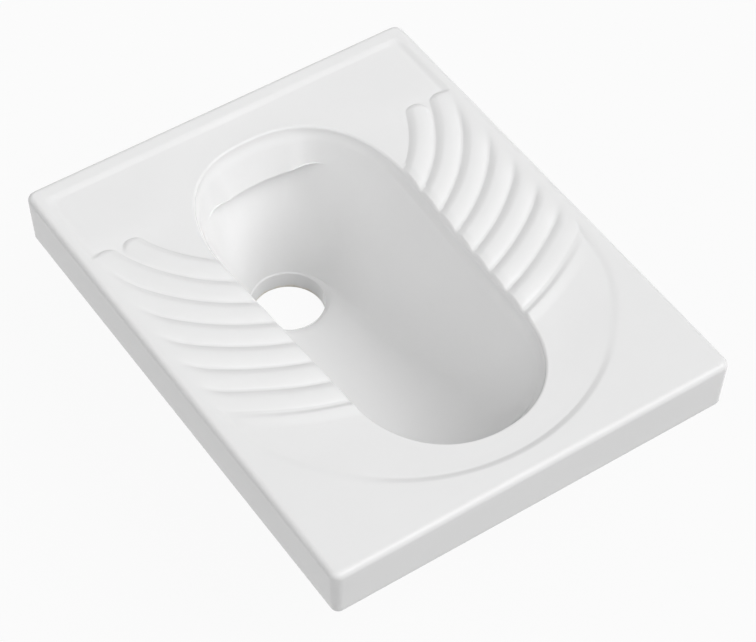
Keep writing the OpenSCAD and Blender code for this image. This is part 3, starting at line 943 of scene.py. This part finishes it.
# ---------------------------------------------------------------- rim and bowl
class PAN_OT_rim(bpy.types.Operator):
    """Rolled rim with the lip that hangs over the flush slot"""

    bl_idname = "pan.build_rim"
    bl_label = "Rim and lip"

    def execute(self, context):
        plan = Plan(context.scene)
        bm = bmesh.new()
        place_sheet(bm, rim_rows(plan), round_columns=True, round_rows=True)
        finish_piece(bm, "rim_and_lip", glaze(context.scene), ["rim_wall"])
        return {"FINISHED"}


def rim_rows(plan):
    """Rows from the rim's outer edge over the roll, down to the lip and back up outside."""
    b = plan.b
    rows = []

    def lay(p, z):
        rows.append(at_height(p, z))

    def top(grown, fade, drop=0.0):
        p = plan.mouth + plan.outward * grown
        x, y = p[:, 0], p[:, 1]
        return p, plan.floor_height(x, y) + plan.ridge_height(x, y) * fade - drop

    lay(*top(b.wall, 0.0))
    lay(*top(b.wall * 0.75, 0.85))
    lay(*top(b.rim / 2 + 0.4 * MM, 0.95))
    lay(*top(b.rim / 2, 1.0))
    lay(*top(b.rim / 2 - 0.15 * MM, 1.0))
    for k in range(1, 11):
        a = math.radians(90 * k / 10)
        lay(*top(b.rim * (0.5 - math.sin(a)), math.cos(a) ** 1.3, b.rim * (1 - math.cos(a))))
    # an upright brow eases into the leaning wall
    start = plan.d.recess + b.rim
    lip_depth = plan.lip_depth()
    lip = plan.lip_edge()
    brow = plan.mouth - plan.outward * (b.rim / 2)
    cut = plan.under_lip()
    soft = 0.4 * MM * cut
    steps = np.concatenate([[0.02, 0.05, 0.085], np.linspace(0.13, 1.0, 25)])
    for step in steps:
        depth = start + (lip_depth - soft - start) * step
        eased = smooth((depth - start) / b.brow)[:, None]
        wall = plan.at_depth(depth)[:, :2]
        band = brow + (lip - brow) * step**0.92
        wall = wall + (band - wall) * cut[:, None]
        lay(brow + (wall - brow) * (eased + (1 - eased) * 0.35 * cut[:, None]), plan.top - depth)
    # the lip's lower edge is rounded, and its underside runs out to the wall behind
    for k in range(1, 6):
        a = math.radians(90 * k / 5)
        edge = lip + plan.outward * (soft * (1 - math.cos(a)))[:, None]
        lay(edge, plan.top - lip_depth + soft * (1 - math.sin(a)))
    behind = plan.outward * (b.undercut * cut + 1.0 * MM)[:, None]
    lay(plan.at_depth(lip_depth)[:, :2] + behind, plan.top - lip_depth)
    lay(plan.at_depth(lip_depth, b.wall)[:, :2], plan.top - lip_depth)
    for depth in (32 * MM, 22 * MM, plan.d.thickness):
        lay(plan.at_depth(depth, b.wall)[:, :2], plan.top - depth)
    return rows


class PAN_OT_bowl(bpy.types.Operator):
    """Bowl from under the lip down to the outlet"""

    bl_idname = "pan.build_bowl"
    bl_label = "Bowl"

    def execute(self, context):
        plan = Plan(context.scene)
        bm = bmesh.new()
        place_sheet(bm, bowl_rows(plan), round_columns=True, round_rows=True)
        finish_piece(bm, "bowl_shell", glaze(context.scene), ["bowl"])
        return {"FINISHED"}


def bowl_rows(plan):
    """Rows down the inner wall, through the funnel into the bore, and back up outside."""
    b = plan.b
    cut = plan.under_lip()
    every = slice(None, None, 2)
    rows = []

    def lay(p):
        q = p[every].copy()
        q[:, 2] = plan.top - q[:, 2]
        rows.append(q)

    # the wall starts below the flush slot at the back, and right under the rim further on
    first = plan.lip_depth() + b.slot_height * plan.slot_share()
    start = plan.spoke_places(first)
    near = plan.spoke_places(first + 0.5 * MM)
    further = [start + (1 - start) * s for s in np.linspace(0, 1, 64)[1:] ** 0.95]
    for t in (start, near, *further):
        p = plan.spokes(t)
        depth = p[:, 2]
        ease = 1 - smooth((depth - b.lip) / (66 * MM))
        p[:, :2] += plan.outward * (b.undercut * cut * ease)[:, None]
        lay(p)
    # from the funnel round into the bore
    turn = plan.turn
    edge, fall = plan.throat()
    drop = b.outlet_round - fall
    for k in range(1, 9):
        t = k / 8
        r = b.outlet + edge * (1 - t) ** 2
        z = plan.back_floor + fall + drop * ((1 - t) * 2 * t * 0.8 + t * t)
        lay(at_height(np.column_stack([r * np.cos(turn), r * np.sin(turn)]), z))
    outer_foot = b.outlet_outer * np.column_stack([np.cos(turn), np.sin(turn)])
    lay(at_height(outer_foot, plan.outlet_depth))
    outer = plan.spoke_places(first, b.wall)
    for s in np.linspace(1, 0, 40):
        lay(plan.spokes(outer + (1 - outer) * s, b.wall))
    return rows


# ---------------------------------------------------------------- water ways and feet
def inlet_ring(name, profile, material, node, segments=96):
    """A turned piece on the inlet's axis, which runs back from the water box."""
    bm = bmesh.new()
    spin_profile(bm, [(r * MM, h * MM) for r, h in profile], segments, INLET_START, (0, 1, 0))
    return finish_piece(bm, name, material, [node], 50)


class PAN_OT_outlet(bpy.types.Operator):
    """Outlet spigot, glazed in its bore and bare on its foot, with its lipped rubber seal"""

    bl_idname = "pan.build_outlet"
    bl_label = "Outlet"

    def execute(self, context):
        b = context.scene.pan_bowl
        bore, outer, high = (v / MM for v in (b.outlet, b.outlet_outer, b.spigot))
        corners = [(bore, 0), (outer, 0), (outer, high), (bore, high)]
        bm = bmesh.new()
        profile = round_corners(corners, [1.6, 2.4, 0.2, 0.2], 5)
        spin_profile(bm, [(r * MM, h * MM) for r, h in profile], 128)
        half_bare = glaze(context.scene, bare_below=3 * MM)
        finish_piece(bm, "outlet_spigot_body", half_bare, ["outlet_spigot"], 50)
        bm = bmesh.new()
        spin_profile(bm, [(r * MM, h * MM) for r, h in seal_profile(outer)], 128)
        finish_piece(bm, "outlet_seal_ring", black_rubber(context.scene), ["outlet_seal"], 50)
        return {"FINISHED"}


def seal_profile(inner, foot=4.0, high=15.0, sleeve=3.0, lip=4.0, lips=3):
    """Sleeve with thin lips that lean up, in millimetres."""
    line = [(inner, foot + high), (inner, foot)]
    out = inner + sleeve
    gap = (high - 2.0) / (lips - 1)
    for k in range(lips):
        z = foot + gap * k
        line += [(out + 0.2, z), (out + lip - 0.6, z + 0.5), (out + lip, z + 1.0)]
        line += [(out + lip - 0.6, z + 1.45), (out + 0.8, z + 1.6), (out, z + 2.0)]
    return line


def neck_profile():
    """Inlet spigot, spread where it joins the water box and rounded at its end, in millimetres."""
    root = [(17, 0), (27.5, 0), (25.2, 0.7), (24.2, 2.0), (24, 4)]
    end = [(24, 23), (23.4, 24.4), (22, 25), (18.2, 25), (17.3, 24.6), (17, 23.8)]
    return root + end


def cuff_profile():
    """Rubber cuff: a bead at each end, a cone between its two grips and two ribs, in millimetres."""
    line = [(24, 5), (28, 5), (28.6, 5.8), (28.6, 7.2), (28, 8), (28, 9.4), (28, 20.6), (28, 22.4)]
    line += [(27.6, 24), (24.6, 27), (21, 29.6), (20.3, 30.6)]
    for rib in (31.6, 33.6):
        line += [(20.2, rib - 0.5), (20.8, rib), (20.8, rib + 0.6), (20.2, rib + 1.1)]
    line += [(20.2, 36.2), (20.2, 45), (20.9, 45.7), (20.9, 47.3), (20.2, 48), (16.9, 48), (16.2, 47.2)]
    return line + [(16.2, 28), (22, 25), (23.4, 24.4), (24, 23)]


class PAN_OT_inlet(bpy.types.Operator):
    """Inlet spigot, its ribbed rubber cuff and the two clamps"""

    bl_idname = "pan.build_inlet"
    bl_label = "Inlet"

    def execute(self, context):
        scene = context.scene
        inlet_ring("inlet_neck", neck_profile(), glaze(scene), "inlet_spigot")
        inlet_ring("inlet_rubber_cuff", cuff_profile(), black_rubber(scene), "inlet_cuff", 128)
        for name, node, radius, start in CLAMPS:
            pinched_band(name + "_clamp_band", node, radius, start, band_steel(scene))
        return {"FINISHED"}


def pinched_band(name, node, radius, start, material, wide=7.0, thick=0.8, ear=5.0, half_ear=4.0):
    """A steel band round the inlet's axis, with one ear pinched together below it, in millimetres."""
    bm = bmesh.new()
    gap = math.asin((half_ear - thick) / radius)
    turns = [math.radians(-90) + gap + (2 * math.pi - 2 * gap) * k / 120 for k in range(121)]
    band = [(radius * math.cos(a), radius * math.sin(a)) for a in turns]
    low = -(radius + thick + ear)
    bulge = half_ear - thick / 2
    waist = bulge * 0.55
    left = [(-bulge, band[-1][1]), (-waist, -(radius + 1.6)), (-bulge, low + 2.6)]
    left += [(-bulge * 0.72, low + 0.9), (0, low + 0.4)]
    loop = band + left + [(-x, z) for x, z in left[-2::-1]]
    centre = Vector(INLET_START)
    rings = [
        [bm.verts.new(centre + Vector((x * MM, depth * MM, z * MM))) for x, z in loop]
        for depth in (start, start + wide)
    ]
    edges = [bm.edges.new(pair) for ring in rings for pair in zip(ring, ring[1:] + ring[:1])]
    bmesh.ops.bridge_loops(bm, edges=edges)
    bmesh.ops.recalc_face_normals(bm, faces=bm.faces)
    bmesh.ops.solidify(bm, geom=bm.faces[:], thickness=-thick * MM)
    rims = [e for e in bm.edges if len(e.link_faces) == 2 and e.calc_face_angle() > math.radians(60)
            and abs(e.verts[0].co.y - e.verts[1].co.y) < 1e-6]
    bmesh.ops.bevel(bm, geom=rims, offset=0.22 * MM, segments=2, profile=0.5, affect="EDGES", material=-1)
    finish_piece(bm, name, material, [node], 40)


class PAN_OT_undersides(bpy.types.Operator):
    """Front foot, ribs, flush channel and water box with their edges softened as fired clay has them"""

    bl_idname = "pan.build_undersides"
    bl_label = "Undersides"

    def execute(self, context):
        scene = context.scene
        softened("front_foot_arch", "front_foot", bare_clay(scene), 2.0 * MM, below=0.10)
        for node in ("rib_front", "rib_left_front", "rib_left_rear", "rib_right_front", "rib_right_rear"):
            softened(node + "_web", node, glaze(scene), 1.6 * MM, below=0.17)
        softened("flush_water_box", "water_box", glaze(scene), 2.0 * MM, below=0.12)
        softened("flush_channel_wall", "flush_channel", glaze(scene), 1.6 * MM, below=0.126)
        return {"FINISHED"}


def softened(name, node, material, width, below, least=6 * MM):
    """A copy of a CAD node with its long, sharp edges rounded where they lie below a height."""
    bm = bmesh.new()
    bm.from_mesh(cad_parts[node].data)
    bmesh.ops.transform(bm, matrix=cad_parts[node].matrix_world, verts=bm.verts)
    bmesh.ops.remove_doubles(bm, verts=bm.verts, dist=1e-6)
    bmesh.ops.dissolve_limit(bm, angle_limit=math.radians(2), verts=bm.verts, edges=bm.edges)
    sharp = [
        e for e in bm.edges
        if len(e.link_faces) == 2 and e.calc_face_angle() > math.radians(55)
        and min(v.co.z for v in e.verts) < below and e.calc_length() > least
    ]
    bmesh.ops.bevel(
        bm, geom=sharp, offset=width, segments=3, profile=0.5, affect="EDGES", material=-1, clamp_overlap=True
    )
    bmesh.ops.triangulate(bm, faces=bm.faces)
    finish_piece(bm, name, material, [node], 40)


# ---------------------------------------------------------------- stage
class PAN_OT_stage(bpy.types.Operator):
    """Pale floor, soft studio light and the camera"""

    bl_idname = "pan.build_stage"
    bl_label = "Stage"

    def execute(self, context):
        scene = context.scene
        s = scene.pan_stage
        scene.view_settings.view_transform = "Standard"
        floor_sheet(s)
        set_room(scene, s)
        for name, azimuth, elevation, strength in SOFT_LAMPS:
            soft_lamp(name, azimuth, elevation, strength * s.lamps, s.spread)
        set_camera(scene)
        return {"FINISHED"}


def background_rays(tree):
    """1 for rays from the camera, off gloss or through glass, which all meet a white background."""
    path = tree.nodes.new("ShaderNodeLightPath")
    found = path.outputs["Is Camera Ray"]
    for kind in ("Is Glossy Ray", "Is Transmission Ray"):
        most = tree.nodes.new("ShaderNodeMath")
        most.operation = "MAXIMUM"
        tree.links.new(found, most.inputs[0])
        tree.links.new(path.outputs[kind], most.inputs[1])
        found = most.outputs[0]
    return found


def floor_sheet(s):
    """Pale floor that looks white behind the pan and still takes its shadow."""
    bm = bmesh.new()
    bmesh.ops.create_grid(bm, x_segments=1, y_segments=1, size=FLOOR_HALF)
    bmesh.ops.translate(bm, verts=bm.verts, vec=(0, 0, -FLOOR_GAP))
    mesh = bpy.data.meshes.new("floor_sheet")
    bm.to_mesh(mesh)
    bm.free()
    m = Nodes("pale_floor")
    tone = m.ramp(m.noise(3.0, 3.0), [(0.3, shade(s.floor[:], 0.99)), (0.7, shade(s.floor[:], 1.01))])
    m.join(tone, m.shader.inputs["Base Color"])
    m.shader.inputs["Roughness"].default_value = 0.6
    white = m.add("ShaderNodeEmission")
    white.inputs["Strength"].default_value = 1.0
    part = m.add("ShaderNodeMath", operation="MULTIPLY")
    m.join(background_rays(m.tree), part.inputs[0])
    part.inputs[1].default_value = FLOOR_WHITE
    blend = m.add("ShaderNodeMixShader")
    m.join(part.outputs[0], blend.inputs[0])
    m.join(m.shader.outputs[0], blend.inputs[1])
    m.join(white.outputs[0], blend.inputs[2])
    m.join(blend.outputs[0], m.out.inputs["Surface"])
    mesh.materials.append(m.material)
    floor = bpy.data.objects.new("floor_sheet", mesh)
    bpy.context.scene.collection.objects.link(floor)


def set_room(scene, s):
    """Faint even light from all round, behind a white background."""
    world = bpy.data.worlds.new("studio_room")
    scene.world = world
    world.use_nodes = True
    tree = world.node_tree
    tree.nodes.clear()
    out = tree.nodes.new("ShaderNodeOutputWorld")
    lit, white = (tree.nodes.new("ShaderNodeBackground") for _ in range(2))
    for node, strength in ((lit, s.room), (white, 1.0)):
        node.inputs["Color"].default_value = (1, 1, 1, 1)
        node.inputs["Strength"].default_value = strength
    blend = tree.nodes.new("ShaderNodeMixShader")
    tree.links.new(background_rays(tree), blend.inputs[0])
    tree.links.new(lit.outputs[0], blend.inputs[1])
    tree.links.new(white.outputs[0], blend.inputs[2])
    tree.links.new(blend.outputs[0], out.inputs["Surface"])


def soft_lamp(name, azimuth, elevation, strength, spread):
    """A wide, far lamp: azimuth 0 is in front of the pan, 90 on its right."""
    light = bpy.data.lights.new(name, "SUN")
    light.energy = strength
    light.angle = spread
    a, e = math.radians(azimuth), math.radians(elevation)
    lamp = bpy.data.objects.new(name, light)
    way = Vector((math.sin(a) * math.cos(e), -math.cos(a) * math.cos(e), math.sin(e)))
    lamp.rotation_euler = way.to_track_quat("Z", "Y").to_euler()
    bpy.context.scene.collection.objects.link(lamp)


def set_camera(scene):
    """The camera as it was solved from the deck's corners."""
    data = bpy.data.cameras.new("photo_camera")
    data.sensor_fit = "HORIZONTAL"
    data.sensor_width = SENSOR_MM
    data.lens = FOCAL_PX * SENSOR_MM / PICTURE[0]
    data.clip_end = 30.0
    camera = bpy.data.objects.new("photo_camera", data)
    camera.location = CAMERA_PLACE
    turn = (
        Matrix.Rotation(-math.radians(CAMERA_TURN), 4, "Z")
        @ Matrix.Rotation(math.radians(90 - CAMERA_DOWN), 4, "X")
        @ Matrix.Rotation(math.radians(CAMERA_ROLL), 4, "Z")
    )
    camera.rotation_euler = turn.to_euler()
    scene.collection.objects.link(camera)
    scene.camera = camera


# ---------------------------------------------------------------- panel
class PAN_PT_panel(bpy.types.Panel):
    """Sizes, finishes and build steps of the pan"""

    bl_idname = "PAN_PT_panel"
    bl_label = "Squat toilet pan"
    bl_space_type = "VIEW_3D"
    bl_region_type = "UI"
    bl_category = "Pan"

    def draw(self, context):
        for name, group in GROUPS.items():
            box = self.layout.box()
            for key in group.__annotations__:
                box.prop(getattr(context.scene, name), key)
        for step in STEPS:
            self.layout.operator(step.bl_idname)


STEPS = (
    PAN_OT_deck, PAN_OT_apron, PAN_OT_treads, PAN_OT_rim, PAN_OT_bowl, PAN_OT_outlet, PAN_OT_inlet,
    PAN_OT_undersides, PAN_OT_stage,
)


def register():
    for cls in (*GROUPS.values(), *STEPS, PAN_PT_panel):
        bpy.utils.register_class(cls)
    for name, group in GROUPS.items():
        setattr(bpy.types.Scene, name, bpy.props.PointerProperty(type=group))


def unregister():
    for name in GROUPS:
        delattr(bpy.types.Scene, name)
    for cls in reversed((*GROUPS.values(), *STEPS, PAN_PT_panel)):
        bpy.utils.unregister_class(cls)


def main():
    register()
    for step in STEPS:
        area, name = step.bl_idname.split(".")
        getattr(getattr(bpy.ops, area), name)()


if __name__ == "__main__":
    main()
